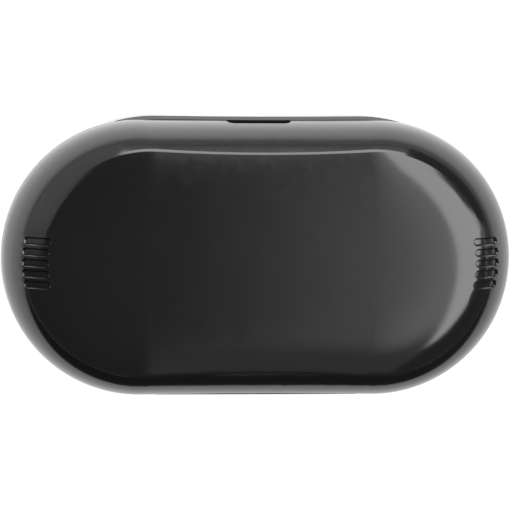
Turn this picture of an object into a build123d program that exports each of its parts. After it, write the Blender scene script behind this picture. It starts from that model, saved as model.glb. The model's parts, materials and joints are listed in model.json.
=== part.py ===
from build123d import *
from math import cos, exp, radians, sin, sqrt, tan
import os

# Charging case for a pair of wireless earbuds: a pebble-shaped clamshell, longer than it is wide,
# with a lid that swings back on a hinge pin, a moulded cradle with two earbud wells, and the
# battery, board, charging socket, contacts and magnets under it.
# Millimetres. +Z is up, +X runs along the case, -Y is the front with the thumb notch and +Y the
# back with the hinge and the charging socket. The origin is the middle of the flat underside.

os.makedirs("parts", exist_ok=True)

STANDING = (Align.CENTER, Align.CENTER, Align.MIN)

# Outer form: a stadium at the seam, drawn in towards a crease, then a low crown.
LENGTH = 76.0
WIDTH = 41.0
SEAM_Z = 16.9
SEAM_GAP = 0.12
LID_Z = SEAM_Z + SEAM_GAP
LID_WALL_HEIGHT = 8.77
CREASE_INSET = 3.8
CREASE_DRAW = 0.85
CREASE_TURN = radians(55.8)
CREASE_LEAN = radians(34)
CREASE_RADIUS = 1.6
BASE_CREASE_RADIUS = 0.65
CREASE_TOLERANCE = 0.01
SEAM_RADIUS = 0.2
CROWN_SLOPE = tan(radians(27))
CROWN_FADE = 2.6
LID_CROWN_REACH = 14.4
BASE_CROWN_REACH = 6.26
BASE_CROWN_RISE = CROWN_SLOPE * CROWN_FADE * (1 - exp(-BASE_CROWN_REACH / CROWN_FADE))
BASE_WALL_HEIGHT = SEAM_Z - BASE_CROWN_RISE
SEAM_WAIST = 0.1
CREASE_WAIST = 0.5
CROWN_WAIST = 0.4
WALL_STEPS = 6
CROWN_STEPS = 6
SKIN = 1.6
END_X = (LENGTH - WIDTH) / 2

# Finger grips: grooves over the crease at both ends of the lid and of the base.
GRIP_ROWS = 5
GRIP_PITCH = 1.6
GRIP_WIDTH = 1.24
GRIP_INWARD = 1.9
GRIP_OUTWARD = 2.6
GRIP_LEAN = radians(21)
GRIP_DEPTH = 0.34
GRIP_BEVEL = 0.27
GRIP_REACH = 2.0

# Front: the ledge under the lid's edge, the thumb notch above it and the status light. The ledge
# is given as pairs of drop below the seam and reach beyond the wall; its ends run out.
LEDGE_PROFILE = ((0.0, 0.05), (0.8, 0.5), (3.9, 0.5), (4.4, 0.05))
LEDGE_DRAW = 2.1
NOTCH_WIDTH = 9.5
NOTCH_HEIGHT = 2.4
NOTCH_DEPTH = 1.15
LIGHT_Z = 7.9
LIGHT_WIDTH = 2.6
LIGHT_HEIGHT = 1.0

# Hinge at the back: the lid's tongue and knuckle turn on a pin held by the base's two ears.
HINGE_Y = 18.7
HINGE_Z = 13.7
KNUCKLE_RADIUS = 1.7
TONGUE_HALF = 15.0
TONGUE_FRONT_Y = 17.3
TONGUE_BACK_Y = WIDTH / 2 - SEAM_WAIST
BAY_CLEARANCE = 0.3
BAY_HALF = TONGUE_HALF + BAY_CLEARANCE
BAY_FRONT_Y = HINGE_Y - KNUCKLE_RADIUS - BAY_CLEARANCE
BAY_FLOOR_Z = HINGE_Z - (TONGUE_BACK_Y - HINGE_Y) - BAY_CLEARANCE
BAY_WALL = 0.8
HOUSING_CLEARANCE = 0.15
EAR_HALF = 19.6
PIN_RADIUS = 0.6
PIN_HALF = 18.4
PIN_RUNNING_FIT = 0.05
SPRING_HALF = 4.8
SPRING_CAVITY_RADIUS = 1.3
SPRING_COIL_RADIUS = 0.95
SPRING_WIRE_RADIUS = 0.16
SPRING_PITCH = 0.8
RELIEF_RADIUS = SEAM_Z - HINGE_Z
LIP_RADIUS = RELIEF_RADIUS + 0.1
LIP_FRONT_Y = 18.95

# Cradle.
DECK_TOP = 16.5
DECK_THICKNESS = 0.9
DECK_BOTTOM = DECK_TOP - DECK_THICKNESS
DECK_INSET = 1.75
RIM_INSET = 1.8
RIM_THICKNESS = 0.9
RIM_TOP = 17.7
WELL_WALL = 1.0
WELL_DRAFT = 4
BODY_WELL = (22.0, 1.0, 10.4, 9.2, 3.5)
TIP_WELL = (14.5, -7.0, 6.2, 7.4, 2.5)

# Lid liner: a thin skin inside the lid, standing clear of the cradle's rim.
LINER_THICKNESS = 0.9
LINER_BOTTOM = RIM_TOP + 0.3

# Board, battery and charging socket.
BOARD_TOP = 7.07
BOARD_THICKNESS = 0.8
BOARD_BOTTOM = BOARD_TOP - BOARD_THICKNESS
BOARD_STEM = (-6.6, -13.5, 6.6, -0.2)
BOARD_WIDE = (-12.6, -0.2, 12.6, 10.6)
BOARD_TAIL = (-5.4, 10.6, 5.4, 16.8)
SOCKET_Z = 8.7
SOCKET_WIDTH = 8.94
SOCKET_HEIGHT = 3.26
SOCKET_WALL = 0.3
SOCKET_MOUTH_Y = 19.2
SOCKET_DEPTH = 7.3
SOCKET_CLEARANCE = 0.13
BLADE_WIDTH = 6.7
BLADE_THICKNESS = 0.7
BLADE_TIP_Y = 18.4
BATTERY_SIZE = (40.0, 18.6, 3.9)
BATTERY_Y = -0.8
BATTERY_CORNER = 0.8
PAD_THICKNESS = 0.3
RECESS_FLOOR_Z = 1.45
RECESS_MARGIN = 0.3
BATTERY_BOTTOM = RECESS_FLOOR_Z + PAD_THICKNESS
LEAD_RADIUS = 0.3
LEAD_XS = (-11.0, -9.8)
LEAD_TURN_Y = 11.7
LEAD_START_Z = 3.7
LEAD_LOW_Z = 5.0
LEAD_HIGH_Z = 6.9
LEAD_END = (9.6, 7.6)

# Packages on the board: centre x, centre y, width, depth, height.
CHARGER_PACKAGE = (8.2, 4.4, 4.0, 4.0, 0.8)
CONTROL_PACKAGE = (0, 3.6, 5.0, 5.0, 0.85)
INDUCTOR_PACKAGE = (0, -4.0, 3.2, 3.2, 1.6)
INDUCTOR_CORNER = 0.5
LIGHT_PACKAGE = (0, -12.7, 2.2, 1.0, 1.1)
PIPE_BACK_Y = -13.25
PLUG_PACKAGE = (-10.4, 8.4, 3.4, 2.4, 1.0)
PASSIVE_COLUMNS = 4
PASSIVE_FIRST_X = -4.5
PASSIVE_PITCH = 3.0
PASSIVE_ROWS = ((-7.6, 1.6, 0.8, 0.6), (-9.2, 1.0, 0.5, 0.5), (7.6, 1.0, 0.5, 0.5))

# Fixings.
BOARD_POSTS = ((-4.3, -12.0), (4.3, -12.0), (-4.3, 10.6), (4.3, 10.6))
TRAY_POSTS = ((-4.5, -15.3), (4.5, -15.3), (-7.6, 12.6), (7.6, 12.6))
POST_RADIUS = 1.6
SCREW_RADIUS = 0.6
SCREW_LENGTH = 3.2
SCREW_GAP = 0.05
HEAD_RADIUS = 1.2
HEAD_HEIGHT = 0.5
HEAD_POCKET = 0.6
DRIVE_WIDTH = 0.35
DRIVE_LENGTH = 1.4
DRIVE_DEPTH = 0.25

# Magnets.
LATCH_X = 13.0
LATCH_Y = -17.0
LATCH_SIZE = (6.0, 1.8, 2.6)
LATCH_COVER = 0.4
WELL_MAGNET = (17.5, 4.5)
WELL_MAGNET_RADIUS = 2.0
WELL_MAGNET_HEIGHT = 1.2

# Charging contacts: two sprung pins in each earbud well, in a carrier under the well's floor.
CONTACT_X = 25.5
CONTACT_Y = 1.0
CONTACT_SPACING = 3.4
CARRIER_SIZE = (3.4, 6.8)
CARRIER_BOTTOM = 5.4
WELL_BOTTOM = BODY_WELL[3] - WELL_WALL
BARREL_RADIUS = 0.8
BARREL_BORE = 0.58
BARREL_MOUTH = 0.5
BARREL_BASE = 0.3
BARREL_LIP = 0.25
PLUNGER_RADIUS = 0.46
COLLAR_RADIUS = 0.54
COLLAR_HEIGHT = 0.5
PLUNGER_RISE = 0.8
PLUNGER_ROUNDING = 0.8 * PLUNGER_RADIUS
CONTACT_COIL_RADIUS = 0.36
CONTACT_WIRE_RADIUS = 0.07
CONTACT_COIL_PITCH = 0.4
FLEX_THICKNESS = 0.15
FLEX_WIDTH = 1.8
FLEX_START_X = 11.2
FLEX_STEP_CLEARANCE = 1.2


def outline(inset, waist, draw=0):
    """Draws the plan outline: inset from its widest, its long sides pinched by waist in the middle
    and the centres of its round ends drawn together by draw each."""
    end_x = END_X - draw
    radius = WIDTH / 2 - inset
    reach = (end_x**2 + waist**2) / (2 * waist)
    tangent_x = end_x * (1 - radius / reach)
    tangent_y = radius * (reach - waist) / reach
    with BuildLine() as loop:
        ThreePointArc((tangent_x, tangent_y), (end_x + radius, 0), (tangent_x, -tangent_y))
        ThreePointArc((tangent_x, -tangent_y), (0, waist - radius), (-tangent_x, -tangent_y))
        ThreePointArc((-tangent_x, -tangent_y), (-end_x - radius, 0), (-tangent_x, tangent_y))
        ThreePointArc((-tangent_x, tangent_y), (0, radius - waist), (tangent_x, tangent_y))
    make_face(loop.edges())


def envelope(skin, seam_z, wall_height, crown_reach, direction):
    """The solid from the seam up (1) or down (-1) to a surface lying skin inside the outer one."""
    crease_inset = CREASE_INSET + skin * sin(CREASE_LEAN)
    crease_height = wall_height - skin * cos(CREASE_LEAN)
    crown_height = CROWN_SLOPE * CROWN_FADE - skin * (1 - cos(CREASE_LEAN))
    with BuildPart() as body:
        for step in range(WALL_STEPS + 1):
            turn = CREASE_TURN * step / WALL_STEPS
            rise = sin(turn) / sin(CREASE_TURN)
            inward = (1 - cos(turn)) / (1 - cos(CREASE_TURN))
            with BuildSketch(Plane.XY.offset(seam_z + direction * crease_height * rise)):
                outline(
                    skin + (crease_inset - skin) * inward,
                    SEAM_WAIST + (CREASE_WAIST - SEAM_WAIST) * rise**2,
                    CREASE_DRAW * inward,
                )
        loft()
        for step in range(CROWN_STEPS + 1):
            share = step / CROWN_STEPS
            run = (crown_reach - skin) * share
            rise = crease_height + crown_height * (1 - exp(-run / CROWN_FADE))
            with BuildSketch(Plane.XY.offset(seam_z + direction * rise)):
                outline(
                    crease_inset + run,
                    CREASE_WAIST + (CROWN_WAIST - CREASE_WAIST) * share,
                    CREASE_DRAW,
                )
        loft()
    return body.part


def lid_envelope(skin):
    return envelope(skin, LID_Z, LID_WALL_HEIGHT, LID_CROWN_REACH, 1)


def base_envelope(skin):
    return envelope(skin, SEAM_Z, BASE_WALL_HEIGHT, BASE_CROWN_REACH, -1)


def grip_cutter(floor_body, crease_z, direction, bevel):
    """The grooves at each end, cut square to the crease down to the surface of floor_body, with
    their floor edges bevelled unless bevel is 0."""
    crease_radius = WIDTH / 2 - CREASE_INSET
    with BuildPart() as cutter:
        for side in (-1, 1):
            facing = Plane(
                origin=(side * (END_X - CREASE_DRAW + crease_radius), 0, crease_z),
                x_dir=(side * cos(GRIP_LEAN), 0, -direction * sin(GRIP_LEAN)),
                z_dir=(side * sin(GRIP_LEAN), 0, direction * cos(GRIP_LEAN)),
            )
            with BuildSketch(facing):
                for row in range(GRIP_ROWS):
                    y = GRIP_PITCH * (row - (GRIP_ROWS - 1) / 2)
                    setback = crease_radius - sqrt(crease_radius**2 - y**2)
                    with Locations(((GRIP_OUTWARD - GRIP_INWARD) / 2 - setback, y)):
                        SlotOverall(GRIP_INWARD + GRIP_OUTWARD, GRIP_WIDTH)
            extrude(amount=GRIP_REACH, both=True)
        add(floor_body, mode=Mode.SUBTRACT)
        if bevel > 0:
            floor_edges = cutter.faces().filter_by(GeomType.BSPLINE).edges()
            chamfer([edge for edge in floor_edges if floor_edges.count(edge) == 1], bevel)
    return cutter.part


def well_form(side, grow, top):
    """The space of one earbud well: a round pocket for the body and a deeper one for the ear tip."""
    with BuildPart() as form:
        for x, y, radius, floor, corner in (BODY_WELL, TIP_WELL):
            with BuildSketch(Plane.XY.offset(floor - grow)):
                with Locations((side * x, y)):
                    Circle(radius + grow)
            pocket = extrude(amount=top - floor + grow, taper=-WELL_DRAFT)
            fillet(pocket.edges().group_by(Axis.Z)[0], corner + grow)
    return form.part


lid_outer = lid_envelope(0)
lid_inner = lid_envelope(SKIN)
liner_inner = lid_envelope(SKIN + LINER_THICKNESS)
base_outer = base_envelope(0)
base_inner = base_envelope(SKIN)
base_mid_skin = base_envelope(SKIN / 2)
lid_crease_z = LID_Z + LID_WALL_HEIGHT
base_crease_z = SEAM_Z - BASE_WALL_HEIGHT
lid_grips = grip_cutter(lid_envelope(GRIP_DEPTH), lid_crease_z, 1, GRIP_BEVEL)
base_grips = grip_cutter(base_envelope(GRIP_DEPTH), base_crease_z, -1, 0)
front_of_case = Plane.XZ.offset(WIDTH / 2)
hinge_plane = Plane((0, HINGE_Y, HINGE_Z), x_dir=(0, 1, 0), z_dir=(1, 0, 0))
light_plane = Plane((0, 0, LIGHT_Z), x_dir=(1, 0, 0), z_dir=(0, -1, 0))
socket_back_plane = Plane((0, 0, SOCKET_Z), x_dir=(-1, 0, 0), z_dir=(0, 1, 0))

# ---------------------------------------------------------------- lid
with BuildPart() as lid_shell:
    add(lid_outer)
    crease = lid_shell.edges().filter_by_position(
        Axis.Z, lid_crease_z - CREASE_TOLERANCE, lid_crease_z + CREASE_TOLERANCE
    )
    fillet(crease, CREASE_RADIUS)
    fillet(lid_shell.edges().group_by(Axis.Z)[0], SEAM_RADIUS)
    add(lid_inner, mode=Mode.SUBTRACT)
    add(lid_grips, mode=Mode.SUBTRACT)
    # Rolled back edge, closing the gap over the base's rounded shoulder.
    with BuildSketch(Plane.XY.offset(HINGE_Z)):
        outline(0, SEAM_WAIST)
        with Locations((0, LIP_FRONT_Y)):
            Rectangle(LENGTH, WIDTH, align=(Align.CENTER, Align.MIN), mode=Mode.INTERSECT)
    extrude(amount=LID_Z - HINGE_Z)
    with BuildSketch(hinge_plane):
        Circle(LIP_RADIUS)
    extrude(amount=LENGTH / 2, both=True, mode=Mode.SUBTRACT)
    # Tongue and knuckle, bored for the pin, with a cavity for the torsion spring.
    with BuildSketch(hinge_plane):
        Circle(KNUCKLE_RADIUS)
        with Locations((TONGUE_FRONT_Y - HINGE_Y, 0)):
            Rectangle(
                TONGUE_BACK_Y - TONGUE_FRONT_Y,
                LID_Z + SKIN - HINGE_Z,
                align=(Align.MIN, Align.MIN),
            )
    extrude(amount=TONGUE_HALF, both=True)
    with BuildSketch(hinge_plane):
        Circle(PIN_RADIUS + PIN_RUNNING_FIT)
    extrude(amount=TONGUE_HALF, both=True, mode=Mode.SUBTRACT)
    with BuildSketch(hinge_plane):
        Circle(SPRING_CAVITY_RADIUS)
    extrude(amount=SPRING_HALF, both=True, mode=Mode.SUBTRACT)
    # Thumb notch in the front of the lower edge.
    with BuildSketch(front_of_case):
        with Locations((0, LID_Z + NOTCH_HEIGHT / 2)):
            SlotOverall(NOTCH_WIDTH, NOTCH_HEIGHT)
        with Locations((0, LID_Z)):
            Rectangle(NOTCH_WIDTH, NOTCH_HEIGHT / 2, align=(Align.CENTER, Align.MIN))
    extrude(amount=-NOTCH_DEPTH, mode=Mode.SUBTRACT)
lid_shell.part.label = "lid_shell"

with BuildPart() as lid_closure_magnets:
    with Locations((-LATCH_X, LATCH_Y, LINER_BOTTOM), (LATCH_X, LATCH_Y, LINER_BOTTOM)):
        with Locations((0, 0, LATCH_COVER)):
            Box(*LATCH_SIZE, align=STANDING)
lid_closure_magnets.part.label = "lid_closure_magnets"

with BuildPart() as lid_liner:
    add(lid_inner)
    add(liner_inner, mode=Mode.SUBTRACT)
    with Locations((-LATCH_X, LATCH_Y, LID_Z), (LATCH_X, LATCH_Y, LID_Z)):
        Box(
            LATCH_SIZE[0] + 2 * LINER_THICKNESS,
            LATCH_SIZE[1] + 2 * LINER_THICKNESS,
            LINER_BOTTOM - LID_Z + LATCH_SIZE[2] + 2 * LATCH_COVER,
            align=STANDING,
        )
    add(lid_inner, mode=Mode.INTERSECT)
    with Locations((0, 0, LID_Z)):
        Box(
            LENGTH,
            WIDTH,
            LINER_BOTTOM - LID_Z,
            align=STANDING,
            mode=Mode.SUBTRACT,
        )
    add(lid_closure_magnets.part, mode=Mode.SUBTRACT)
    add(lid_shell.part, mode=Mode.SUBTRACT)
lid_liner.part.label = "lid_liner"

# ---------------------------------------------------------------- base
with BuildPart() as ledge:
    for drop, reach in LEDGE_PROFILE:
        with BuildSketch(Plane.XY.offset(SEAM_Z - drop)):
            outline(-reach, SEAM_WAIST, LEDGE_DRAW)
    loft(ruled=True)
    with Locations((0, 0, SEAM_Z)):
        Box(
            LENGTH,
            WIDTH,
            2 * SEAM_Z,
            align=(Align.CENTER, Align.MAX, Align.CENTER),
            mode=Mode.INTERSECT,
        )

with BuildPart() as posts:
    for places, top in ((BOARD_POSTS, BOARD_BOTTOM), (TRAY_POSTS, DECK_BOTTOM)):
        with BuildSketch():
            with Locations(*places):
                Circle(POST_RADIUS)
        extrude(amount=top)
    add(base_mid_skin, mode=Mode.INTERSECT)

with BuildPart() as base_shell:
    add(base_outer)
    crease = base_shell.edges().filter_by_position(
        Axis.Z, base_crease_z - CREASE_TOLERANCE, base_crease_z + CREASE_TOLERANCE
    )
    fillet(crease, BASE_CREASE_RADIUS)
    fillet(base_shell.edges().group_by(Axis.Z)[-1], SEAM_RADIUS)
    add(base_grips, mode=Mode.SUBTRACT)
    add(ledge.part)
    add(base_inner, mode=Mode.SUBTRACT)
    # Hinge housing and ears.
    with Locations((0, BAY_FRONT_Y - BAY_WALL, BAY_FLOOR_Z - BAY_WALL)):
        Box(
            2 * EAR_HALF,
            WIDTH / 2 - BAY_FRONT_Y,
            DECK_TOP - BAY_FLOOR_Z + BAY_WALL,
            align=(Align.CENTER, Align.MIN, Align.MIN),
        )
    add(posts.part)
    for places, top in ((BOARD_POSTS, BOARD_BOTTOM), (TRAY_POSTS, DECK_BOTTOM)):
        with BuildSketch(Plane.XY.offset(top)):
            with Locations(*places):
                Circle(SCREW_RADIUS)
        extrude(amount=-SCREW_LENGTH, mode=Mode.SUBTRACT)
    # Bay for the tongue, open to the back and the top.
    with Locations((0, BAY_FRONT_Y, BAY_FLOOR_Z)):
        Box(2 * BAY_HALF, WIDTH, WIDTH, align=(Align.CENTER, Align.MIN, Align.MIN), mode=Mode.SUBTRACT)
    with BuildSketch(hinge_plane):
        Circle(PIN_RADIUS)
    extrude(amount=PIN_HALF, both=True, mode=Mode.SUBTRACT)
    # Rounded shoulder, so the lid's back edge swings past.
    with BuildSketch(hinge_plane):
        Rectangle(WIDTH, WIDTH, align=(Align.MIN, Align.MIN))
        Circle(RELIEF_RADIUS, mode=Mode.SUBTRACT)
    extrude(amount=LENGTH / 2, both=True, mode=Mode.SUBTRACT)
    # Recess for the battery.
    with Locations((0, BATTERY_Y, RECESS_FLOOR_Z)):
        Box(
            BATTERY_SIZE[0] + 2 * RECESS_MARGIN,
            BATTERY_SIZE[1] + 2 * RECESS_MARGIN,
            PAD_THICKNESS,
            align=STANDING,
            mode=Mode.SUBTRACT,
        )
    # Socket opening at the back and the light's window at the front.
    with BuildSketch(socket_back_plane):
        SlotOverall(SOCKET_WIDTH + 2 * SOCKET_CLEARANCE, SOCKET_HEIGHT + 2 * SOCKET_CLEARANCE)
    extrude(amount=WIDTH, mode=Mode.SUBTRACT)
    with BuildSketch(light_plane):
        SlotOverall(LIGHT_WIDTH, LIGHT_HEIGHT)
    extrude(amount=WIDTH, mode=Mode.SUBTRACT)
base_shell.part.label = "base_shell"

# ---------------------------------------------------------------- cradle
wells = [well_form(side, 0, RIM_TOP) for side in (-1, 1)]
well_walls = [well_form(side, WELL_WALL, DECK_TOP) for side in (-1, 1)]

with BuildPart() as cradle_tray:
    with BuildSketch(Plane.XY.offset(DECK_BOTTOM)):
        outline(DECK_INSET, SEAM_WAIST)
    extrude(amount=DECK_THICKNESS)
    with BuildSketch(Plane.XY.offset(DECK_BOTTOM)):
        outline(RIM_INSET, SEAM_WAIST)
    extrude(amount=RIM_TOP - DECK_BOTTOM)
    with BuildSketch(Plane.XY.offset(DECK_TOP)):
        outline(RIM_INSET + RIM_THICKNESS, SEAM_WAIST)
    extrude(amount=WIDTH, mode=Mode.SUBTRACT)
    add(well_walls)
    add(wells, mode=Mode.SUBTRACT)
    with Locations((0, BAY_FRONT_Y - BAY_WALL - HOUSING_CLEARANCE, DECK_TOP)):
        Box(
            2 * (EAR_HALF + HOUSING_CLEARANCE),
            WIDTH,
            WIDTH,
            align=(Align.CENTER, Align.MIN, Align.CENTER),
            mode=Mode.SUBTRACT,
        )
    with BuildSketch(Plane.XY.offset(DECK_TOP)):
        with Locations(*TRAY_POSTS):
            Circle(SCREW_RADIUS + SCREW_GAP)
    extrude(amount=-DECK_THICKNESS, mode=Mode.SUBTRACT)
    with BuildSketch(Plane.XY.offset(DECK_TOP)):
        with Locations(*TRAY_POSTS):
            Circle(HEAD_RADIUS + SCREW_GAP)
    extrude(amount=-HEAD_POCKET, mode=Mode.SUBTRACT)
    with BuildSketch(Plane.XY.offset(BODY_WELL[3])):
        for side in (-1, 1):
            for row in (-1, 1):
                with Locations((side * CONTACT_X, CONTACT_Y + row * CONTACT_SPACING / 2)):
                    Circle(BARREL_RADIUS)
    extrude(amount=-WELL_WALL, mode=Mode.SUBTRACT)
cradle_tray.part.label = "cradle_tray"


def screws(places, head_bottom):
    """Adds pan-head screws with cross drives, standing head up."""
    with Locations(*[(x, y, head_bottom) for x, y in places]):
        Cylinder(SCREW_RADIUS, SCREW_LENGTH, align=(Align.CENTER, Align.CENTER, Align.MAX))
        heads = Cylinder(HEAD_RADIUS, HEAD_HEIGHT, align=STANDING)
    chamfer(heads.edges().group_by(Axis.Z)[-1], DRIVE_DEPTH / 2)
    with Locations(*[(x, y, head_bottom + HEAD_HEIGHT) for x, y in places]):
        for turn in (0, 90):
            Box(
                DRIVE_LENGTH,
                DRIVE_WIDTH,
                2 * DRIVE_DEPTH,
                rotation=(0, 0, turn),
                mode=Mode.SUBTRACT,
            )


with BuildPart() as cradle_screws:
    screws(TRAY_POSTS, DECK_TOP - HEAD_POCKET)
cradle_screws.part.label = "cradle_screws"

with BuildPart() as well_magnets:
    with BuildSketch(Plane.XY.offset(WELL_BOTTOM)):
        with Locations((-WELL_MAGNET[0], WELL_MAGNET[1]), WELL_MAGNET):
            Circle(WELL_MAGNET_RADIUS)
    extrude(amount=-WELL_MAGNET_HEIGHT)
well_magnets.part.label = "well_magnets"

with BuildPart() as base_closure_magnets:
    with Locations((-LATCH_X, LATCH_Y, DECK_BOTTOM), (LATCH_X, LATCH_Y, DECK_BOTTOM)):
        Box(*LATCH_SIZE, align=(Align.CENTER, Align.CENTER, Align.MAX))
base_closure_magnets.part.label = "base_closure_magnets"

# ---------------------------------------------------------------- board and socket
with BuildPart() as main_board:
    with BuildSketch(Plane.XY.offset(BOARD_BOTTOM)):
        for left, front, right, back in (BOARD_STEM, BOARD_WIDE, BOARD_TAIL):
            with Locations(((left + right) / 2, (front + back) / 2)):
                Rectangle(right - left, back - front)
        with Locations(*BOARD_POSTS):
            Circle(POST_RADIUS)
        with Locations(*BOARD_POSTS):
            Circle(SCREW_RADIUS + SCREW_GAP, mode=Mode.SUBTRACT)
    extrude(amount=BOARD_THICKNESS)
main_board.part.label = "main_board"

with BuildPart() as board_screws:
    screws(BOARD_POSTS, BOARD_TOP)
board_screws.part.label = "board_screws"


def chip(x, y, width, depth, height):
    """Adds a square package standing on the board."""
    with Locations((x, y, BOARD_TOP)):
        Box(width, depth, height, align=STANDING)


with BuildPart() as charger_chip:
    chip(*CHARGER_PACKAGE)
charger_chip.part.label = "charger_chip"

with BuildPart() as control_chip:
    chip(*CONTROL_PACKAGE)
control_chip.part.label = "control_chip"

with BuildPart() as power_inductor:
    chip(*INDUCTOR_PACKAGE)
    fillet(power_inductor.edges().filter_by(Axis.Z), INDUCTOR_CORNER)
power_inductor.part.label = "power_inductor"

with BuildPart() as board_passives:
    for column in range(PASSIVE_COLUMNS):
        for y, width, depth, height in PASSIVE_ROWS:
            chip(PASSIVE_FIRST_X + PASSIVE_PITCH * column, y, width, depth, height)
board_passives.part.label = "board_passives"

with BuildPart() as status_light:
    chip(*LIGHT_PACKAGE)
status_light.part.label = "status_light"

with BuildPart() as light_pipe:
    with BuildSketch(light_plane):
        SlotOverall(LIGHT_WIDTH, LIGHT_HEIGHT)
    extrude(amount=WIDTH)
    add(base_outer, mode=Mode.INTERSECT)
    with Locations((0, PIPE_BACK_Y, 0)):
        Box(WIDTH, WIDTH, WIDTH, align=(Align.CENTER, Align.MIN, Align.CENTER), mode=Mode.SUBTRACT)
light_pipe.part.label = "light_pipe"

socket_plane = Plane((0, SOCKET_MOUTH_Y, SOCKET_Z), x_dir=(1, 0, 0), z_dir=(0, -1, 0))
with BuildPart() as socket_shell:
    with BuildSketch(socket_plane):
        SlotOverall(SOCKET_WIDTH, SOCKET_HEIGHT)
    extrude(amount=SOCKET_DEPTH)
    with BuildSketch(socket_plane):
        SlotOverall(SOCKET_WIDTH - 2 * SOCKET_WALL, SOCKET_HEIGHT - 2 * SOCKET_WALL)
    extrude(amount=SOCKET_DEPTH - SOCKET_WALL, mode=Mode.SUBTRACT)
socket_shell.part.label = "socket_shell"

with BuildPart() as socket_blade:
    with Locations((0, BLADE_TIP_Y, SOCKET_Z)):
        Box(
            BLADE_WIDTH,
            BLADE_TIP_Y - SOCKET_MOUTH_Y + SOCKET_DEPTH - SOCKET_WALL,
            BLADE_THICKNESS,
            align=(Align.CENTER, Align.MAX, Align.CENTER),
        )
    fillet(socket_blade.edges().filter_by(Axis.Z).group_by(Axis.Y)[-1], BLADE_THICKNESS / 2)
socket_blade.part.label = "socket_blade"

# ---------------------------------------------------------------- battery
with BuildPart() as battery_pad:
    with Locations((0, BATTERY_Y, RECESS_FLOOR_Z)):
        Box(
            BATTERY_SIZE[0],
            BATTERY_SIZE[1],
            PAD_THICKNESS,
            align=STANDING,
        )
battery_pad.part.label = "battery_pad"

with BuildPart() as battery_cell:
    with Locations((0, BATTERY_Y, BATTERY_BOTTOM)):
        Box(*BATTERY_SIZE, align=STANDING)
    fillet(battery_cell.edges().filter_by(Axis.Z), BATTERY_CORNER)
    fillet(battery_cell.edges().group_by(Axis.Z)[-1], BATTERY_CORNER)
battery_cell.part.label = "battery_cell"

with BuildPart() as battery_plug:
    chip(*PLUG_PACKAGE)
battery_plug.part.label = "battery_plug"

with BuildPart() as battery_leads:
    cell_back_y = BATTERY_Y + BATTERY_SIZE[1] / 2
    for x in LEAD_XS:
        with BuildLine() as route:
            Spline(
                (x, cell_back_y, LEAD_START_Z),
                (x, LEAD_TURN_Y, LEAD_LOW_Z),
                (x, LEAD_TURN_Y, LEAD_HIGH_Z),
                (x, *LEAD_END),
                tangents=((0, 1, 0), (0, -1, 0)),
            )
        with BuildSketch(Plane(origin=route.line @ 0, z_dir=route.line % 0)):
            Circle(LEAD_RADIUS)
        sweep(path=route.line)
battery_leads.part.label = "battery_leads"

# ---------------------------------------------------------------- charging contacts
def contact_flex(side):
    """Adds a thin flexible circuit from the board's edge down to and under a contact carrier."""
    step_x = CONTACT_X - CARRIER_SIZE[0] / 2 - FLEX_STEP_CLEARANCE
    end_x = CONTACT_X + CARRIER_SIZE[0] / 2
    low_z = CARRIER_BOTTOM - FLEX_THICKNESS
    with Locations((side * (FLEX_START_X + step_x) / 2, CONTACT_Y, BOARD_TOP)):
        Box(step_x - FLEX_START_X, FLEX_WIDTH, FLEX_THICKNESS, align=STANDING)
    with Locations((side * (step_x - FLEX_THICKNESS / 2), CONTACT_Y, low_z)):
        Box(FLEX_THICKNESS, FLEX_WIDTH, BOARD_TOP - low_z, align=STANDING)
    with Locations((side * (step_x + end_x) / 2, CONTACT_Y, low_z)):
        Box(end_x - step_x, FLEX_WIDTH, FLEX_THICKNESS, align=STANDING)


def contact_places(side, z):
    """Where one well's two contacts stand, at a height."""
    return [(side * CONTACT_X, CONTACT_Y + row * CONTACT_SPACING / 2, z) for row in (-1, 1)]


def contact_carrier(side):
    """Adds the moulded block that holds one well's contact barrels against the well's floor."""
    height = WELL_BOTTOM - CARRIER_BOTTOM
    with Locations((side * CONTACT_X, CONTACT_Y, CARRIER_BOTTOM)):
        Box(*CARRIER_SIZE, height, align=STANDING)
    with Locations(*contact_places(side, CARRIER_BOTTOM)):
        Cylinder(BARREL_RADIUS, height, align=STANDING, mode=Mode.SUBTRACT)


def contact_barrels(side):
    """Adds one well's two metal barrels, each closed below and lipped at its mouth."""
    mouth_z = BODY_WELL[3]
    bore_z = CARRIER_BOTTOM + BARREL_BASE
    with Locations(*contact_places(side, CARRIER_BOTTOM)):
        Cylinder(BARREL_RADIUS, mouth_z - CARRIER_BOTTOM, align=STANDING)
    with Locations(*contact_places(side, bore_z)):
        Cylinder(BARREL_BORE, mouth_z - BARREL_LIP - bore_z, align=STANDING, mode=Mode.SUBTRACT)
        Cylinder(BARREL_MOUTH, mouth_z - bore_z, align=STANDING, mode=Mode.SUBTRACT)


def contact_plunger(x, y):
    """Adds a round-tipped contact pin with the collar that keeps it in its barrel."""
    collar_top = BODY_WELL[3] - BARREL_LIP
    tip = BODY_WELL[3] + PLUNGER_RISE
    with Locations((x, y, collar_top - COLLAR_HEIGHT)):
        Cylinder(COLLAR_RADIUS, COLLAR_HEIGHT, align=STANDING)
    with Locations((x, y, collar_top)):
        stem = Cylinder(PLUNGER_RADIUS, tip - collar_top, align=STANDING)
    fillet(stem.edges().group_by(Axis.Z)[-1], PLUNGER_ROUNDING)


with BuildPart() as contact_flex_left:
    contact_flex(-1)
contact_flex_left.part.label = "contact_flex_left"

with BuildPart() as contact_flex_right:
    contact_flex(1)
contact_flex_right.part.label = "contact_flex_right"

with BuildPart() as contact_carrier_left:
    contact_carrier(-1)
contact_carrier_left.part.label = "contact_carrier_left"

with BuildPart() as contact_carrier_right:
    contact_carrier(1)
contact_carrier_right.part.label = "contact_carrier_right"

with BuildPart() as contact_barrels_left:
    contact_barrels(-1)
contact_barrels_left.part.label = "contact_barrels_left"

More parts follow.
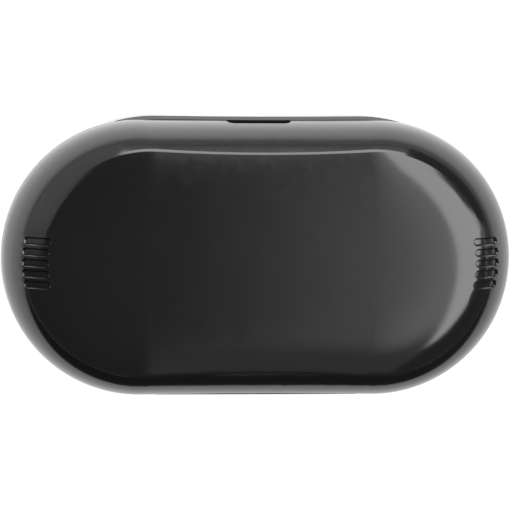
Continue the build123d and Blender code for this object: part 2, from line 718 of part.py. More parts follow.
with BuildPart() as contact_barrels_right:
    contact_barrels(1)
contact_barrels_right.part.label = "contact_barrels_right"

plungers = []
contact_springs = []
spring_bottom = CARRIER_BOTTOM + BARREL_BASE
spring_top = BODY_WELL[3] - BARREL_LIP - COLLAR_HEIGHT
for side, side_name in ((-1, "left"), (1, "right")):
    for (x, y, z), row_name in zip(contact_places(side, spring_bottom), ("front", "back")):
        with BuildPart() as plunger:
            contact_plunger(x, y)
        plunger.part.label = f"plunger_{side_name}_{row_name}"
        plungers.append(plunger)
        with BuildPart() as contact_spring:
            with BuildLine() as path:
                Helix(
                    pitch=CONTACT_COIL_PITCH,
                    height=spring_top - spring_bottom - 2 * CONTACT_WIRE_RADIUS,
                    radius=CONTACT_COIL_RADIUS,
                    center=(x, y, z + CONTACT_WIRE_RADIUS),
                )
            with BuildSketch(Plane(origin=path.line @ 0, z_dir=path.line % 0)):
                Circle(CONTACT_WIRE_RADIUS)
            sweep(path=path.line, is_frenet=True)
        contact_spring.part.label = f"contact_spring_{side_name}_{row_name}"
        contact_springs.append(contact_spring)

# ---------------------------------------------------------------- hinge
with BuildPart() as hinge_pin:
    with BuildSketch(hinge_plane):
        Circle(PIN_RADIUS)
    extrude(amount=PIN_HALF, both=True)
hinge_pin.part.label = "hinge_pin"

with BuildPart() as hinge_spring:
    with BuildLine() as path:
        Helix(
            pitch=SPRING_PITCH,
            height=2 * (SPRING_HALF - SPRING_WIRE_RADIUS),
            radius=SPRING_COIL_RADIUS,
            center=(SPRING_WIRE_RADIUS - SPRING_HALF, HINGE_Y, HINGE_Z),
            direction=(1, 0, 0),
        )
    with BuildSketch(Plane(origin=path.line @ 0, z_dir=path.line % 0)):
        Circle(SPRING_WIRE_RADIUS)
    sweep(path=path.line, is_frenet=True)
hinge_spring.part.label = "hinge_spring"

pieces = [
    lid_shell,
    lid_liner,
    lid_closure_magnets,
    base_shell,
    cradle_tray,
    cradle_screws,
    well_magnets,
    base_closure_magnets,
    main_board,
    board_screws,
    charger_chip,
    control_chip,
    power_inductor,
    board_passives,
    status_light,
    light_pipe,
    socket_shell,
    socket_blade,
    battery_pad,
    battery_cell,
    battery_plug,
    battery_leads,
    contact_flex_left,
    contact_flex_right,
    contact_carrier_left,
    contact_carrier_right,
    contact_barrels_left,
    contact_barrels_right,
    *plungers,
    *contact_springs,
    hinge_pin,
    hinge_spring,
]
for piece in pieces:
    export_step(piece.part, f"parts/{piece.part.label}.step")
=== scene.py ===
"""The earbuds case in its studio: finishes, fine detail, light and camera."""

import json
import math

import bmesh
import bpy
from mathutils import Matrix, Vector


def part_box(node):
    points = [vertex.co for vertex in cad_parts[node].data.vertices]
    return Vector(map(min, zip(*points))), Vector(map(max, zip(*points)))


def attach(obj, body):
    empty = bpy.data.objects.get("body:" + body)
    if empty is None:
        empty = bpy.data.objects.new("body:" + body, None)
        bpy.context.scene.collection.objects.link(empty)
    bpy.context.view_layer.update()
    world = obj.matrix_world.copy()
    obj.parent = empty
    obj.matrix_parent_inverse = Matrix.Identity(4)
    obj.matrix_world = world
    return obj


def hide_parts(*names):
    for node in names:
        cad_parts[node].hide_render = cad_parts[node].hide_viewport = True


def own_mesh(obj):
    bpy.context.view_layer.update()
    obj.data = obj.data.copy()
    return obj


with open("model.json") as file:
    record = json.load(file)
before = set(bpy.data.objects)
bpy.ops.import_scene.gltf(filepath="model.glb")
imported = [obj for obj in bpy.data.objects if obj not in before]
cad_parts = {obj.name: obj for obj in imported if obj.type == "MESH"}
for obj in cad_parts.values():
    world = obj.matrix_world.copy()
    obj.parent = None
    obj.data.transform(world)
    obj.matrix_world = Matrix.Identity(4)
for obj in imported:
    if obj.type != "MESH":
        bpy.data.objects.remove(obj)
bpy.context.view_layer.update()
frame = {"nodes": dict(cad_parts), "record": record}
MM = 0.001

NODES = frame["nodes"]
SCENE = bpy.context.scene


# ---------------------------------------------------------------- node helpers
def new_material(name):
    """An empty node material, with its tree, principled shader and object coordinates."""
    material = bpy.data.materials.new(name)
    material.use_nodes = True
    tree = material.node_tree
    tree.nodes.clear()
    output = tree.nodes.new("ShaderNodeOutputMaterial")
    shader = tree.nodes.new("ShaderNodeBsdfPrincipled")
    tree.links.new(shader.outputs[0], output.inputs[0])
    coords = tree.nodes.new("ShaderNodeTexCoord")
    return material, tree, shader, coords.outputs["Object"]


def noise(tree, vector, scale, detail=3.0, rough=0.5, stretch=None):
    """A noise texture's value, with scale in features per metre."""
    if stretch is not None:
        mapping = tree.nodes.new("ShaderNodeMapping")
        mapping.inputs["Scale"].default_value = stretch
        tree.links.new(vector, mapping.inputs[0])
        vector = mapping.outputs[0]
    node = tree.nodes.new("ShaderNodeTexNoise")
    node.inputs["Scale"].default_value = scale
    node.inputs["Detail"].default_value = detail
    node.inputs["Roughness"].default_value = rough
    tree.links.new(vector, node.inputs["Vector"])
    return node.outputs[0]


def spread(tree, value, low, high, from_low=0.3, from_high=0.7):
    """Maps a texture value onto low to high."""
    node = tree.nodes.new("ShaderNodeMapRange")
    node.inputs["From Min"].default_value = from_low
    node.inputs["From Max"].default_value = from_high
    node.inputs["To Min"].default_value = low
    node.inputs["To Max"].default_value = high
    tree.links.new(value, node.inputs["Value"])
    return node.outputs[0]


def mix_colours(tree, factor, first, second):
    """A colour between first and second by a texture value."""
    node = tree.nodes.new("ShaderNodeMix")
    node.data_type = "RGBA"
    node.inputs[6].default_value = (*first, 1)
    node.inputs[7].default_value = (*second, 1)
    tree.links.new(factor, node.inputs[0])
    return node.outputs[2]


def bump(tree, shader, value, distance, strength=1.0, below=None):
    """Adds a bump of that height in metres to a shader, on top of the one below."""
    node = tree.nodes.new("ShaderNodeBump")
    node.inputs["Strength"].default_value = strength
    node.inputs["Distance"].default_value = distance
    tree.links.new(value, node.inputs["Height"])
    if below is not None:
        tree.links.new(below, node.inputs["Normal"])
    tree.links.new(node.outputs[0], shader.inputs["Normal"])
    return node.outputs[0]


def finish(
    name,
    dark,
    light,
    rough,
    metallic=0.0,
    mottle=90.0,
    grain=4000.0,
    grain_height=0.000002,
    grain_strength=0.2,
    stretch=None,
    coat=0.0,
    ior=1.5,
):
    """A surface with a mottled colour, uneven roughness and a fine grain in relief."""
    material, tree, shader, coords = new_material(name)
    patches = spread(tree, noise(tree, coords, mottle, 4.0, 0.6), 0.0, 1.0)
    tree.links.new(mix_colours(tree, patches, dark, light), shader.inputs["Base Color"])
    shader.inputs["Metallic"].default_value = metallic
    shader.inputs["IOR"].default_value = ior
    shader.inputs["Coat Weight"].default_value = coat
    shader.inputs["Coat Roughness"].default_value = 0.12
    fine = noise(tree, coords, grain, 2.0, 0.5, stretch)
    wear = noise(tree, coords, mottle * 2.3, 5.0, 0.65, stretch)
    tree.links.new(spread(tree, wear, rough[0], rough[1]), shader.inputs["Roughness"])
    bump(tree, shader, fine, grain_height, grain_strength)
    return material


# ---------------------------------------------------------------- finishes
FINISHES = {
    "shell_plastic": finish(
        "shell_satin", (0.0042, 0.0042, 0.0044), (0.0054, 0.0054, 0.0056), (0.1, 0.13),
        grain=5200.0, grain_height=0.000001, grain_strength=0.15,
    ),
    "cradle_plastic": finish(
        "cradle_gloss", (0.012, 0.012, 0.013), (0.015, 0.015, 0.016), (0.2, 0.28),
        grain=3000.0, grain_height=0.000002,
    ),
    "screw_steel": finish(
        "zinc_steel", (0.42, 0.42, 0.43), (0.55, 0.55, 0.56), (0.22, 0.38), metallic=1.0,
    ),
    "magnet_nickel": finish(
        "nickel", (0.58, 0.56, 0.52), (0.68, 0.66, 0.62), (0.1, 0.2), metallic=1.0,
    ),
    "board_laminate": finish(
        "solder_mask", (0.008, 0.06, 0.025), (0.014, 0.1, 0.045), (0.25, 0.4), mottle=600.0,
    ),
    "chip_black": finish(
        "epoxy", (0.012, 0.012, 0.012), (0.022, 0.022, 0.022), (0.5, 0.65), grain=9000.0,
        grain_height=0.000004,
    ),
    "inductor_ferrite": finish(
        "ferrite", (0.05, 0.05, 0.055), (0.09, 0.09, 0.1), (0.45, 0.6), grain=6000.0,
    ),
    "passive_ceramic": finish(
        "ceramic_chip", (0.3, 0.22, 0.13), (0.42, 0.33, 0.22), (0.4, 0.55),
    ),
    "light_body": finish("light_body", (0.7, 0.7, 0.64), (0.82, 0.82, 0.76), (0.2, 0.3)),
    "light_pipe_clear": finish(
        "frosted_window", (0.32, 0.34, 0.36), (0.42, 0.44, 0.46), (0.25, 0.35),
    ),
    "socket_steel": finish(
        "drawn_steel", (0.5, 0.5, 0.51), (0.62, 0.62, 0.63), (0.2, 0.34), metallic=1.0,
        stretch=(1.0, 0.04, 1.0),
    ),
    "socket_blade_black": finish(
        "blade_black", (0.012, 0.012, 0.012), (0.02, 0.02, 0.02), (0.35, 0.5),
    ),
    "pad_foam": finish(
        "foam", (0.03, 0.03, 0.03), (0.06, 0.06, 0.06), (0.85, 0.95), grain=3500.0,
        grain_height=0.00004, grain_strength=0.8,
    ),
    "battery_foil": finish(
        "foil_pouch", (0.5, 0.5, 0.52), (0.62, 0.62, 0.64), (0.28, 0.42), metallic=0.9,
        mottle=160.0, grain=900.0, grain_height=0.00002,
    ),
    "plug_white": finish("plug_nylon", (0.62, 0.61, 0.56), (0.72, 0.71, 0.66), (0.35, 0.5)),
    "lead_red": finish("lead_silicone", (0.28, 0.012, 0.012), (0.4, 0.02, 0.02), (0.45, 0.6)),
    "flex_amber": finish("polyimide", (0.3, 0.12, 0.015), (0.42, 0.18, 0.03), (0.2, 0.32)),
    "carrier_ivory": finish("carrier_nylon", (0.4, 0.37, 0.3), (0.5, 0.47, 0.4), (0.45, 0.6)),
    "contact_gold": finish(
        "gold_plate", (0.72, 0.5, 0.19), (0.85, 0.62, 0.27), (0.14, 0.26), metallic=1.0,
    ),
    "spring_steel": finish(
        "spring_wire", (0.36, 0.36, 0.37), (0.5, 0.5, 0.51), (0.25, 0.4), metallic=1.0,
    ),
    "pin_steel": finish(
        "ground_pin", (0.5, 0.5, 0.51), (0.62, 0.62, 0.63), (0.12, 0.24), metallic=1.0,
        stretch=(1.0, 0.03, 0.03),
    ),
}

SLOT_OF = {part["node"]: part["material_slot"] for part in frame["record"]["subparts"]}
for node, obj in NODES.items():
    for place in obj.material_slots:
        place.material = FINISHES[SLOT_OF[node]]


# ---------------------------------------------------------------- fine detail
def piece(name, shape, slot, body="base", bevel=0.0, finish_name=None):
    """Makes an object of a bmesh, bevels its edges, and puts it on a body with a finish."""
    if bevel > 0:
        bmesh.ops.bevel(
            shape, geom=shape.edges[:], offset=bevel, segments=2, affect="EDGES", profile=0.5
        )
    mesh = bpy.data.meshes.new(name)
    shape.to_mesh(mesh)
    shape.free()
    obj = bpy.data.objects.new(name, mesh)
    SCENE.collection.objects.link(obj)
    mesh.materials.append(FINISHES[finish_name or slot])
    for polygon in mesh.polygons:
        polygon.use_smooth = bevel > 0
    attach(obj, body)
    return obj


def add_block(shape, low, high):
    """Adds a box between two corners to a bmesh."""
    corners = [
        shape.verts.new((x, y, z))
        for x in (low[0], high[0])
        for y in (low[1], high[1])
        for z in (low[2], high[2])
    ]
    for face in (
        (0, 1, 3, 2), (4, 6, 7, 5), (0, 4, 5, 1), (2, 3, 7, 6), (0, 2, 6, 4), (1, 5, 7, 3),
    ):
        shape.faces.new([corners[i] for i in face])


def add_turned(shape, centre, axis, profile, segments=32):
    """Adds a closed ring turned about an axis through centre; profile is (radius, height)
    pairs."""
    axis = Vector(axis).normalized()
    across = axis.orthogonal().normalized()
    beside = axis.cross(across)
    rings = []
    for radius, height in profile:
        ring = []
        for i in range(segments):
            turn = 2 * math.pi * i / segments
            out = across * math.cos(turn) + beside * math.sin(turn)
            ring.append(shape.verts.new(Vector(centre) + out * radius + axis * height))
        rings.append(ring)
    for i, ring in enumerate(rings):
        following = rings[(i + 1) % len(rings)]
        for j in range(segments):
            k = (j + 1) % segments
            shape.faces.new((ring[j], ring[k], following[k], following[j]))


def islands(node):
    """The low and high corners of each separate solid in a CAD node, sorted by place."""
    shape = bmesh.new()
    shape.from_mesh(NODES[node].data)
    bmesh.ops.remove_doubles(shape, verts=shape.verts[:], dist=0.001 * MM)
    seen = set()
    boxes = []
    for vert in shape.verts:
        if vert in seen:
            continue
        seen.add(vert)
        group = [vert]
        for member in group:
            for edge in member.link_edges:
                other = edge.other_vert(member)
                if other not in seen:
                    seen.add(other)
                    group.append(other)
        low = tuple(min(v.co[i] for v in group) for i in range(3))
        high = tuple(max(v.co[i] for v in group) for i in range(3))
        boxes.append((low, high))
    shape.free()
    return sorted(boxes, key=lambda pair: [round(value, 6) for value in pair[0]])


def socket_contacts():
    """Gold strips above and below the socket's blade, and the moulded block behind it."""
    low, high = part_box("socket_blade")
    pitch, width, thick = 0.5 * MM, 0.27 * MM, 0.04 * MM
    count, power_places = 12, (0, 3, 8, 11)
    power_setback, signal_setback = 0.35 * MM, 0.75 * MM
    shape = bmesh.new()
    for index in range(count):
        x = (index - (count - 1) / 2) * pitch
        tip = high[1] - (power_setback if index in power_places else signal_setback)
        for z in (low[2] - thick, high[2]):
            add_block(shape, (x - width / 2, low[1], z), (x + width / 2, tip, z + thick))
    piece("socket_contacts", shape, "contact_gold", bevel=0.012 * MM)
    shell_low, shell_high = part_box("socket_shell")
    inset, start, end, arc_steps = 0.34 * MM, 0.02 * MM, 1.9 * MM, 12
    shape = bmesh.new()
    middle = (shell_low[2] + shell_high[2]) / 2
    half_width = (shell_high[0] - shell_low[0]) / 2 - inset
    half_height = (shell_high[2] - shell_low[2]) / 2 - inset
    loops = []
    for y in (low[1] + start, low[1] + end):
        loop = []
        for side in (1, -1):
            for i in range(arc_steps + 1):
                turn = -math.pi / 2 + math.pi * i / arc_steps
                x = side * (half_width - half_height + half_height * math.cos(turn))
                z = middle + side * half_height * math.sin(turn)
                loop.append(shape.verts.new((x, y, z)))
        loops.append(loop)
    corners = len(loops[0])
    for i in range(corners):
        j = (i + 1) % corners
        shape.faces.new((loops[0][i], loops[0][j], loops[1][j], loops[1][i]))
    shape.faces.new(loops[0])
    shape.faces.new(loops[1][::-1])
    bmesh.ops.recalc_face_normals(shape, faces=shape.faces[:])
    piece("socket_insulator", shape, "socket_blade_black")


def chip_terminals(node, pitch, width):
    """A row of solder terminals round the foot of a square package, with a pin-one dimple ring."""
    (low, high), = islands(node)
    shape = bmesh.new()
    reach, height, inset = 0.14 * MM, 0.18 * MM, 0.3 * MM
    count = int((high[0] - low[0] - 2 * inset) / pitch)
    for index in range(count + 1):
        offset = (index - count / 2) * pitch
        x = (low[0] + high[0]) / 2 + offset
        y = (low[1] + high[1]) / 2 + offset
        z = low[2]
        for side_low, side_high in (
            ((x - width / 2, low[1] - reach, z), (x + width / 2, low[1] + reach, z + height)),
            ((x - width / 2, high[1] - reach, z), (x + width / 2, high[1] + reach, z + height)),
            ((low[0] - reach, y - width / 2, z), (low[0] + reach, y + width / 2, z + height)),
            ((high[0] - reach, y - width / 2, z), (high[0] + reach, y + width / 2, z + height)),
        ):
            add_block(shape, side_low, side_high)
    piece(f"{node}_terminals", shape, "socket_steel", bevel=0.03 * MM)
    shape = bmesh.new()
    mark_inset, inner, outer = 0.7 * MM, 0.16 * MM, 0.26 * MM
    foot, top = -0.02 * MM, 0.012 * MM
    dot = (low[0] + mark_inset, high[1] - mark_inset, high[2])
    ring = [(inner, foot), (outer, foot), (outer, top), (inner, top)]
    add_turned(shape, dot, (0, 0, 1), ring, 24)
    piece(f"{node}_pin_mark", shape, "light_body")


def passive_caps():
    """Tinned ends on the small parts."""
    shape = bmesh.new()
    skin, cap_share = 0.02 * MM, 0.24
    for low, high in islands("board_passives"):
        cap = cap_share * (high[0] - low[0])
        for start, end in ((low[0] - skin, low[0] + cap), (high[0] - cap, high[0] + skin)):
            add_block(
                shape,
                (start, low[1] - skin, low[2]),
                (end, high[1] + skin, high[2] + skin),
            )
    piece("passive_caps", shape, "socket_steel", bevel=0.03 * MM)


def inductor_terminals():
    """The two tinned feet that clasp the inductor's ends."""
    (low, high), = islands("power_inductor")
    shape = bmesh.new()
    middle = (low[1] + high[1]) / 2
    proud, wrap, half_width, height = 0.06 * MM, 0.5 * MM, 1.0 * MM, 0.5 * MM
    for x, side in ((low[0], -1), (high[0], 1)):
        outer, inner = x + side * proud, x - side * wrap
        add_block(
            shape,
            (min(outer, inner), middle - half_width, low[2]),
            (max(outer, inner), middle + half_width, low[2] + height),
        )
    piece("inductor_terminals", shape, "socket_steel", bevel=0.05 * MM)


def screw_lands():
    """Gold-plated rings in the board under the screw heads."""
    board_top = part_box("main_board")[1][2]
    bore, shoulder, rim = 0.7 * MM, 1.4 * MM, 1.45 * MM
    foot, edge, top = -0.02 * MM, 0.015 * MM, 0.03 * MM
    ring = [(bore, foot), (rim, foot), (rim, edge), (shoulder, top), (bore, top)]
    shape = bmesh.new()
    for low, high in islands("board_screws"):
        centre = ((low[0] + high[0]) / 2, (low[1] + high[1]) / 2, board_top)
        add_turned(shape, centre, (0, 0, 1), ring, 40)
    piece("screw_lands", shape, "contact_gold")


def status_lens():
    """The clear dome on the status light's face."""
    low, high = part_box("status_light")
    shape = bmesh.new()
    centre = ((low[0] + high[0]) / 2, low[1], (low[2] + high[2]) / 2)
    radius, flatness, pole, foot = 0.36 * MM, 0.7, 0.01 * MM, -0.05 * MM
    steps = 8
    profile = [
        (max(radius * math.cos(turn), pole), radius * flatness * math.sin(turn))
        for turn in [math.radians(90 / steps) * i for i in range(steps + 1)]
    ]
    profile.append((pole, foot))
    profile.append((radius, foot))
    add_turned(shape, centre, (0, -1, 0), profile, 28)
    bmesh.ops.recalc_face_normals(shape, faces=shape.faces[:])
    lens = piece("status_lens", shape, "light_pipe_clear")
    for polygon in lens.data.polygons:
        polygon.use_smooth = True


def battery_trim():
    """The folded side seams of the pouch and the tape over its terminals."""
    low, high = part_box("battery_cell")
    sunk, proud, margin, below = 0.02 * MM, 0.16 * MM, 1.0 * MM, 0.5 * MM
    shape = bmesh.new()
    for x, side in ((low[0], -1), (high[0], 1)):
        outer, inner = x + side * proud, x - side * sunk
        add_block(
            shape,
            (min(outer, inner), low[1] + margin, low[2] + below),
            (max(outer, inner), high[1] - margin, high[2] - margin),
        )
    piece("battery_seams", shape, "battery_foil", bevel=0.07 * MM)
    shape = bmesh.new()
    side_inset, front_inset, back_inset, thickness = 1.2 * MM, 3.6 * MM, 0.9 * MM, 0.06 * MM
    add_block(
        shape,
        (low[0] + side_inset, high[1] - front_inset, high[2] - sunk),
        (high[0] - side_inset, high[1] - back_inset, high[2] + thickness),
    )
    piece("battery_tape", shape, "flex_amber", bevel=0.03 * MM)


def plug_detail():
    """The battery plug's latch rib and its row of tinned pins."""
    low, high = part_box("battery_plug")
    shape = bmesh.new()
    middle = (low[0] + high[0]) / 2
    half_width, front_inset, back_inset = 0.7 * MM, 0.3 * MM, 0.5 * MM
    sunk, proud = 0.02 * MM, 0.18 * MM
    add_block(
        shape,
        (middle - half_width, low[1] + front_inset, high[2] - sunk),
        (middle + half_width, high[1] - back_inset, high[2] + proud),
    )
    piece("plug_latch", shape, "plug_white", bevel=0.06 * MM)
    shape = bmesh.new()
    half_pin, reach, root, height = 0.14 * MM, 0.5 * MM, 0.1 * MM, 0.16 * MM
    for offset in (-1.0, 0.0, 1.0):
        x = middle + offset * MM
        add_block(
            shape,
            (x - half_pin, low[1] - reach, low[2]),
            (x + half_pin, low[1] + root, low[2] + height),
        )
    piece("plug_pins", shape, "socket_steel", bevel=0.03 * MM)


def contact_bezels():
    """Soft rings let into each well's floor round its two contacts."""
    inner, crown, shoulder, outer = 0.82 * MM, 0.9 * MM, 1.06 * MM, 1.12 * MM
    foot, lip, edge, top = -0.05 * MM, 0.02 * MM, 0.03 * MM, 0.09 * MM
    ring = [(inner, foot), (outer, foot), (outer, lip), (shoulder, top), (crown, top),
            (inner, edge)]
    shape = bmesh.new()
    floor_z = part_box("contact_barrels_left")[1][2]
    for node in ("contact_barrels_left", "contact_barrels_right"):
        for low, high in islands(node):
            centre = ((low[0] + high[0]) / 2, (low[1] + high[1]) / 2, floor_z)
            add_turned(shape, centre, (0, 0, 1), ring, 40)
    bezels = piece("contact_bezels", shape, "pad_foam", finish_name="soft_ring")
    for polygon in bezels.data.polygons:
        polygon.use_smooth = True


def contact_coils():
    """The contacts' springs, with closed ends, in place of the spring nodes, which are hidden."""
    steps, sides, turns, closed_turns, wire = 220, 10, 7.0, 0.8, 0.07 * MM
    slack = 2.1 * wire
    for place in ("left_front", "left_back", "right_front", "right_back"):
        node = f"contact_spring_{place}"
        low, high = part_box(node)
        centre = ((low[0] + high[0]) / 2, (low[1] + high[1]) / 2)
        radius = (high[0] - low[0]) / 2 - wire
        shape = bmesh.new()
        rings = []
        for step in range(steps + 1):
            share = step / steps
            turn = 2 * math.pi * turns * share
            # Most of a turn lies closed at each end, with an even pitch between.
            rise = min(max((share * turns - closed_turns) / (turns - 2 * closed_turns), 0.0), 1.0)
            last_turns = max(share * turns - turns + closed_turns, 0.0)
            ends = min(share * turns, closed_turns) + last_turns
            body = high[2] - low[2] - 2 * wire - 2 * closed_turns * slack
            z = low[2] + wire + body * rise + slack * ends
            out = Vector((math.cos(turn), math.sin(turn), 0))
            middle = Vector((*centre, z)) + out * radius
            ring = []
            for side in range(sides):
                angle = 2 * math.pi * side / sides
                offset = out * math.cos(angle) + Vector((0, 0, 1)) * math.sin(angle)
                ring.append(shape.verts.new(middle + offset * wire))
            rings.append(ring)
        for first, second in zip(rings, rings[1:]):
            for side in range(sides):
                after = (side + 1) % sides
                shape.faces.new((first[side], first[after], second[after], second[side]))
        shape.faces.new(rings[0][::-1])
        shape.faces.new(rings[-1])
        bmesh.ops.recalc_face_normals(shape, faces=shape.faces[:])
        coil = piece(f"coil_{place}", shape, "spring_steel")
        for polygon in coil.data.polygons:
            polygon.use_smooth = True
        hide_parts(node)
        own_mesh(coil)


FINISHES["soft_ring"] = finish(
    "soft_ring", (0.02, 0.02, 0.021), (0.032, 0.032, 0.033), (0.6, 0.75), grain=5000.0,
)
socket_contacts()
chip_terminals("charger_chip", 0.5 * MM, 0.24 * MM)
chip_terminals("control_chip", 0.5 * MM, 0.24 * MM)
passive_caps()
inductor_terminals()
screw_lands()
status_lens()
battery_trim()
plug_detail()
contact_bezels()
contact_coils()


# ---------------------------------------------------------------- floor, light and camera
def emitter(name):
    """An empty material for a shape that only shines, with its tree and its output."""
    material = bpy.data.materials.new(name)
    material.use_nodes = True
    tree = material.node_tree
    tree.nodes.clear()
    return material, tree, tree.nodes.new("ShaderNodeOutputMaterial")


def card(name, corners, strength, fades=()):
    """A reflector that the camera doesn't see and that throws no shadow. Each fade is a pair of
    points, from where it is clear to where it is full."""
    mesh = bpy.data.meshes.new(name)
    mesh.from_pydata([Vector(c) for c in corners], [], [range(len(corners))])
    obj = bpy.data.objects.new(name, mesh)
    SCENE.collection.objects.link(obj)
    material, tree, output = emitter(name)
    emission = tree.nodes.new("ShaderNodeEmission")
    emission.inputs["Strength"].default_value = strength
    shown = emission.outputs[0]
    coords = tree.nodes.new("ShaderNodeTexCoord")
    for clear, full in fades:
        along = Vector(full) - Vector(clear)
        along = along / along.length_squared
        offset = Vector(clear).dot(along)
        dot = tree.nodes.new("ShaderNodeVectorMath")
        dot.operation = "DOT_PRODUCT"
        dot.inputs[1].default_value = along
        tree.links.new(coords.outputs["Object"], dot.inputs[0])
        level = tree.nodes.new("ShaderNodeMapRange")
        level.interpolation_type = "SMOOTHSTEP"
        level.inputs["From Min"].default_value = offset
        level.inputs["From Max"].default_value = offset + 1
        tree.links.new(dot.outputs["Value"], level.inputs["Value"])
        clear_shader = tree.nodes.new("ShaderNodeBsdfTransparent")
        mixed = tree.nodes.new("ShaderNodeMixShader")
        tree.links.new(level.outputs[0], mixed.inputs[0])
        tree.links.new(clear_shader.outputs[0], mixed.inputs[1])
        tree.links.new(shown, mixed.inputs[2])
        shown = mixed.outputs[0]
    tree.links.new(shown, output.inputs[0])
    mesh.materials.append(material)
    obj.visible_camera = False
    obj.visible_shadow = False


def sheet(name, reach, height):
    """A level square mesh object, reaching so far each way from the middle."""
    mesh = bpy.data.meshes.new(name)
    mesh.from_pydata(
        [(-reach, -reach, height), (reach, -reach, height), (reach, reach, height),
         (-reach, reach, height)],
        [],
        [(0, 1, 2, 3)],
    )
    obj = bpy.data.objects.new(name, mesh)
    SCENE.collection.objects.link(obj)
    return obj


def build_floor_reflection():
    """What the floor looks like in the gloss: brightest towards the front, dimmer close by and
    far away."""
    obj = sheet("floor_reflection", REFLECTION_REACH, REFLECTION_HEIGHT)
    material, tree, output = emitter("floor_reflection")
    emission = tree.nodes.new("ShaderNodeEmission")
    coords = tree.nodes.new("ShaderNodeTexCoord")
    unit = tree.nodes.new("ShaderNodeVectorMath")
    unit.operation = "NORMALIZE"
    tree.links.new(coords.outputs["Object"], unit.inputs[0])
    dot = tree.nodes.new("ShaderNodeVectorMath")
    dot.operation = "DOT_PRODUCT"
    dot.inputs[1].default_value = (math.sin(FLOOR_BRIGHT_TURN), -math.cos(FLOOR_BRIGHT_TURN), 0)
    tree.links.new(unit.outputs[0], dot.inputs[0])
    around = tree.nodes.new("ShaderNodeMapRange")
    around.inputs["From Min"].default_value = -1.0
    around.inputs["To Min"].default_value = FLOOR_DIM
    around.inputs["To Max"].default_value = FLOOR_BRIGHT
    tree.links.new(dot.outputs["Value"], around.inputs["Value"])
    stretch = tree.nodes.new("ShaderNodeMapping")
    stretch.inputs["Scale"].default_value = FLOOR_STRETCH
    tree.links.new(coords.outputs["Object"], stretch.inputs[0])
    length = tree.nodes.new("ShaderNodeVectorMath")
    length.operation = "LENGTH"
    tree.links.new(stretch.outputs[0], length.inputs[0])
    level = around.outputs[0]
    for start, end, first, last in FLOOR_FALLOFFS:
        falloff = tree.nodes.new("ShaderNodeMapRange")
        falloff.interpolation_type = "SMOOTHSTEP"
        falloff.inputs["From Min"].default_value = start
        falloff.inputs["From Max"].default_value = end
        falloff.inputs["To Min"].default_value = first
        falloff.inputs["To Max"].default_value = last
        tree.links.new(length.outputs["Value"], falloff.inputs["Value"])
        product = tree.nodes.new("ShaderNodeMath")
        product.operation = "MULTIPLY"
        tree.links.new(level, product.inputs[0])
        tree.links.new(falloff.outputs[0], product.inputs[1])
        level = product.outputs[0]
    tree.links.new(level, emission.inputs["Strength"])
    tree.links.new(emission.outputs[0], output.inputs[0])
    obj.data.materials.append(material)
    obj.visible_camera = False
    obj.visible_diffuse = False
    obj.visible_shadow = False
    obj.visible_transmission = False


def build_floor():
    """Pale paper just under the case, clear when looked at from below, so the underside shows."""
    floor = sheet("floor", FLOOR_REACH, FLOOR_HEIGHT)
    material, tree, shader, _ = new_material("floor_paper")
    shader.inputs["Base Color"].default_value = (*FLOOR_GREY, 1)
    shader.inputs["Roughness"].default_value = FLOOR_ROUGHNESS
    shader.inputs["Specular IOR Level"].default_value = 0.0
    shader.inputs["Emission Color"].default_value = (*WHITE, 1)
    shader.inputs["Emission Strength"].default_value = FLOOR_GLOW
    output = shader.outputs[0].links[0].to_node
    side = tree.nodes.new("ShaderNodeNewGeometry")
    clear_shader = tree.nodes.new("ShaderNodeBsdfTransparent")
    mixed = tree.nodes.new("ShaderNodeMixShader")
    tree.links.new(side.outputs["Backfacing"], mixed.inputs[0])
    tree.links.new(shader.outputs[0], mixed.inputs[1])
    tree.links.new(clear_shader.outputs[0], mixed.inputs[2])
    tree.links.new(mixed.outputs[0], output.inputs[0])
    floor.data.materials.append(material)


def build_world(level):
    """Even white light from all round, at that level."""
    world = bpy.data.worlds.new("studio")
    SCENE.world = world
    world.use_nodes = True
    background = world.node_tree.nodes["Background"]
    background.inputs[0].default_value = (*WHITE, 1)
    background.inputs[1].default_value = level


def build_camera():
    """A long lens nearly straight above the case, leaned to the left and the front."""
    data = bpy.data.cameras.new("camera")
    camera = bpy.data.objects.new("camera", data)
    SCENE.collection.objects.link(camera)
    toward = Vector((math.tan(LEAN_LEFT), -math.tan(LEAN_FRONT), 1)).normalized()
    right = Vector((-1, 0, 0))
    right = (right - toward * right.dot(toward)).normalized()
    up = toward.cross(right)
    target = Vector((0.0, 0.0, TARGET_HEIGHT)) + right * TARGET_RIGHT + up * TARGET_UP
    rotation = Matrix((right, up, toward)).transposed().to_4x4()
    camera.matrix_world = Matrix.Translation(target + toward * CAMERA_DISTANCE) @ rotation
    data.sensor_width = SENSOR_WIDTH
    data.lens = SENSOR_WIDTH * CAMERA_DISTANCE / FIELD
    data.clip_start = CLIP_START
    data.clip_end = CLIP_END
    SCENE.camera = camera


def build_backdrop():
    """A far white wall that only the camera sees, so low views end in white."""
    mesh = bpy.data.meshes.new("backdrop")
    shape = bmesh.new()
    bmesh.ops.create_cone(
        shape,
        cap_ends=True,
        segments=BACKDROP_SIDES,
        radius1=BACKDROP_RADIUS,
        radius2=BACKDROP_RADIUS,
        depth=BACKDROP_HEIGHT,
    )
    shape.to_mesh(mesh)
    shape.free()
    backdrop = bpy.data.objects.new("backdrop", mesh)
    SCENE.collection.objects.link(backdrop)
    material, tree, output = emitter("backdrop_paper")
    emission = tree.nodes.new("ShaderNodeEmission")
    tree.links.new(emission.outputs[0], output.inputs[0])
    mesh.materials.append(material)
    for ray in ("diffuse", "glossy", "transmission", "volume_scatter", "shadow"):
        setattr(backdrop, f"visible_{ray}", False)


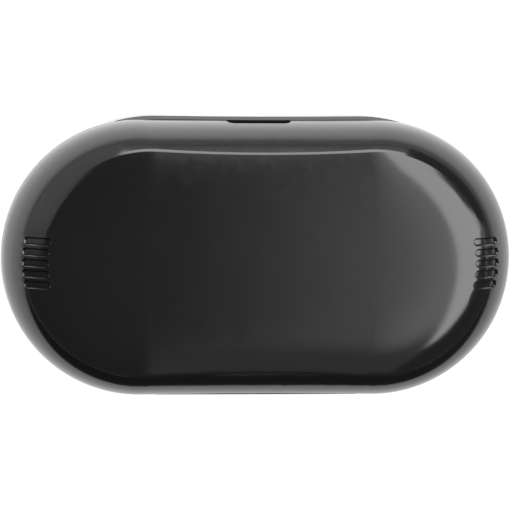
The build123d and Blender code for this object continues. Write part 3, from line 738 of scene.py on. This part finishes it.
# Camera: the width it takes in, its leans and the point it looks at.
FIELD = 76.25 * MM
LEAN_LEFT = math.radians(6.5)
LEAN_FRONT = math.radians(6.2)
TARGET_RIGHT = -0.03 * MM
TARGET_UP = 0.15 * MM
TARGET_HEIGHT = 17.0 * MM
CAMERA_DISTANCE = 0.7
SENSOR_WIDTH = 36.0
CLIP_START = 0.01
CLIP_END = 20.0

# Floor, its reflection, the backdrop and the world. Falloffs are start, end, first and last level.
WHITE = (1, 1, 1)
FLOOR_REACH = 4.0
FLOOR_HEIGHT = -0.05 * MM
FLOOR_GREY = (0.15, 0.15, 0.15)
FLOOR_ROUGHNESS = 0.9
FLOOR_GLOW = 0.97
REFLECTION_REACH = 1.6
REFLECTION_HEIGHT = 0.5 * MM
FLOOR_BRIGHT = 2.4
FLOOR_DIM = 1.0
FLOOR_BRIGHT_TURN = math.radians(10)
FLOOR_STRETCH = (0.56, 1, 0)
FLOOR_FALLOFFS = ((0.022, 0.04, 0.66, 1.0), (0.06, 0.2, 1.0, 0.38))
BACKDROP_RADIUS = 3.9
BACKDROP_HEIGHT = 8.0
BACKDROP_SIDES = 96
WORLD_LEVEL = 0.16

build_floor()
build_floor_reflection()
build_backdrop()
build_world(WORLD_LEVEL)
build_camera()

# Reflectors: name, corners in metres, strength and fades.
card(
    "softbox_right",
    (
        (-0.17, -0.66, 0.6), (-0.17, 0.29, 0.6), (-0.27, 0.41, 0.6), (-0.3, 0.4, 0.6),
        (-0.68, 0.08, 0.6), (-1.0, 0.06, 0.6), (-1.0, -0.12, 0.6), (-0.6, -0.22, 0.6),
        (-0.45, -0.38, 0.6), (-0.45, -0.66, 0.6),
    ),
    6.2,
    fades=[
        ((-0.185, 0, 0.6), (-0.233, -0.01, 0.6)),
        ((-0.45, 0.27, 0.6), (-0.41, 0.22, 0.6)),
        ((0, 0.38, 0.6), (0, 0.31, 0.6)),
    ],
)
card(
    "ceiling_glow",
    ((-0.5, -0.58, 0.61), (0.14, -0.58, 0.61), (0.14, 0.4, 0.61), (-0.5, 0.4, 0.61)),
    2.3,
    fades=[((-0.038, 0, 0.6), (-0.16, 0, 0.6)), ((0, 0.3, 0.6), (0, 0.12, 0.6))],
)
card(
    "ceiling_back",
    ((-0.28, 0.08, 0.612), (0.0, 0.08, 0.612), (0.0, 0.8, 0.612), (-0.28, 0.8, 0.612)),
    0.5,
    fades=[((-0.03, 0, 0.6), (-0.07, 0, 0.6)), ((0, 0.08, 0.6), (0, 0.25, 0.6))],
)
card(
    "strip_front",
    ((-0.3, -0.6, 0.17), (0.17, -0.6, 0.17), (0.17, -0.6, 0.58), (-0.3, -0.6, 0.58)),
    6.4,
    fades=[((0.17, 0, 0), (0.11, 0, 0))],
)
card(
    "strip_front_low",
    ((-0.3, -0.61, 0.005), (0.17, -0.61, 0.005), (0.17, -0.61, 0.2), (-0.3, -0.61, 0.2)),
    1.4,
    fades=[((0.17, 0, 0), (0.11, 0, 0)), ((0, 0, -0.06), (0, 0, 0.17))],
)
card(
    "panel_right",
    ((-1.4, -0.3, 0.1), (-1.4, 0.3, 0.1), (-1.4, 0.3, 0.7), (-1.4, -0.3, 0.7)),
    2.2,
    fades=[((-1.4, 0, 0.0), (-1.4, 0, 0.7))],
)
card(
    "panel_left",
    ((0.81, 0.12, 0.0), (0.17, -0.98, 0.0), (0.17, -0.98, 0.9), (0.81, 0.12, 0.9)),
    1.1,
    fades=[((0.81, 0.2, 0.3), (0.6, -0.25, 0.3))],
)
card(
    "floor_shade",
    (
        (0.75, 0.16, 0.001), (0.06, 0.06, 0.001), (-0.06, 0.06, 0.001), (-0.15, 0.07, 0.001),
        (-1.5, -0.1, 0.001), (-1.5, 1.5, 0.001), (0.75, 1.5, 0.001),
    ),
    0.05,
)
SCENE.view_settings.view_transform = "Standard"
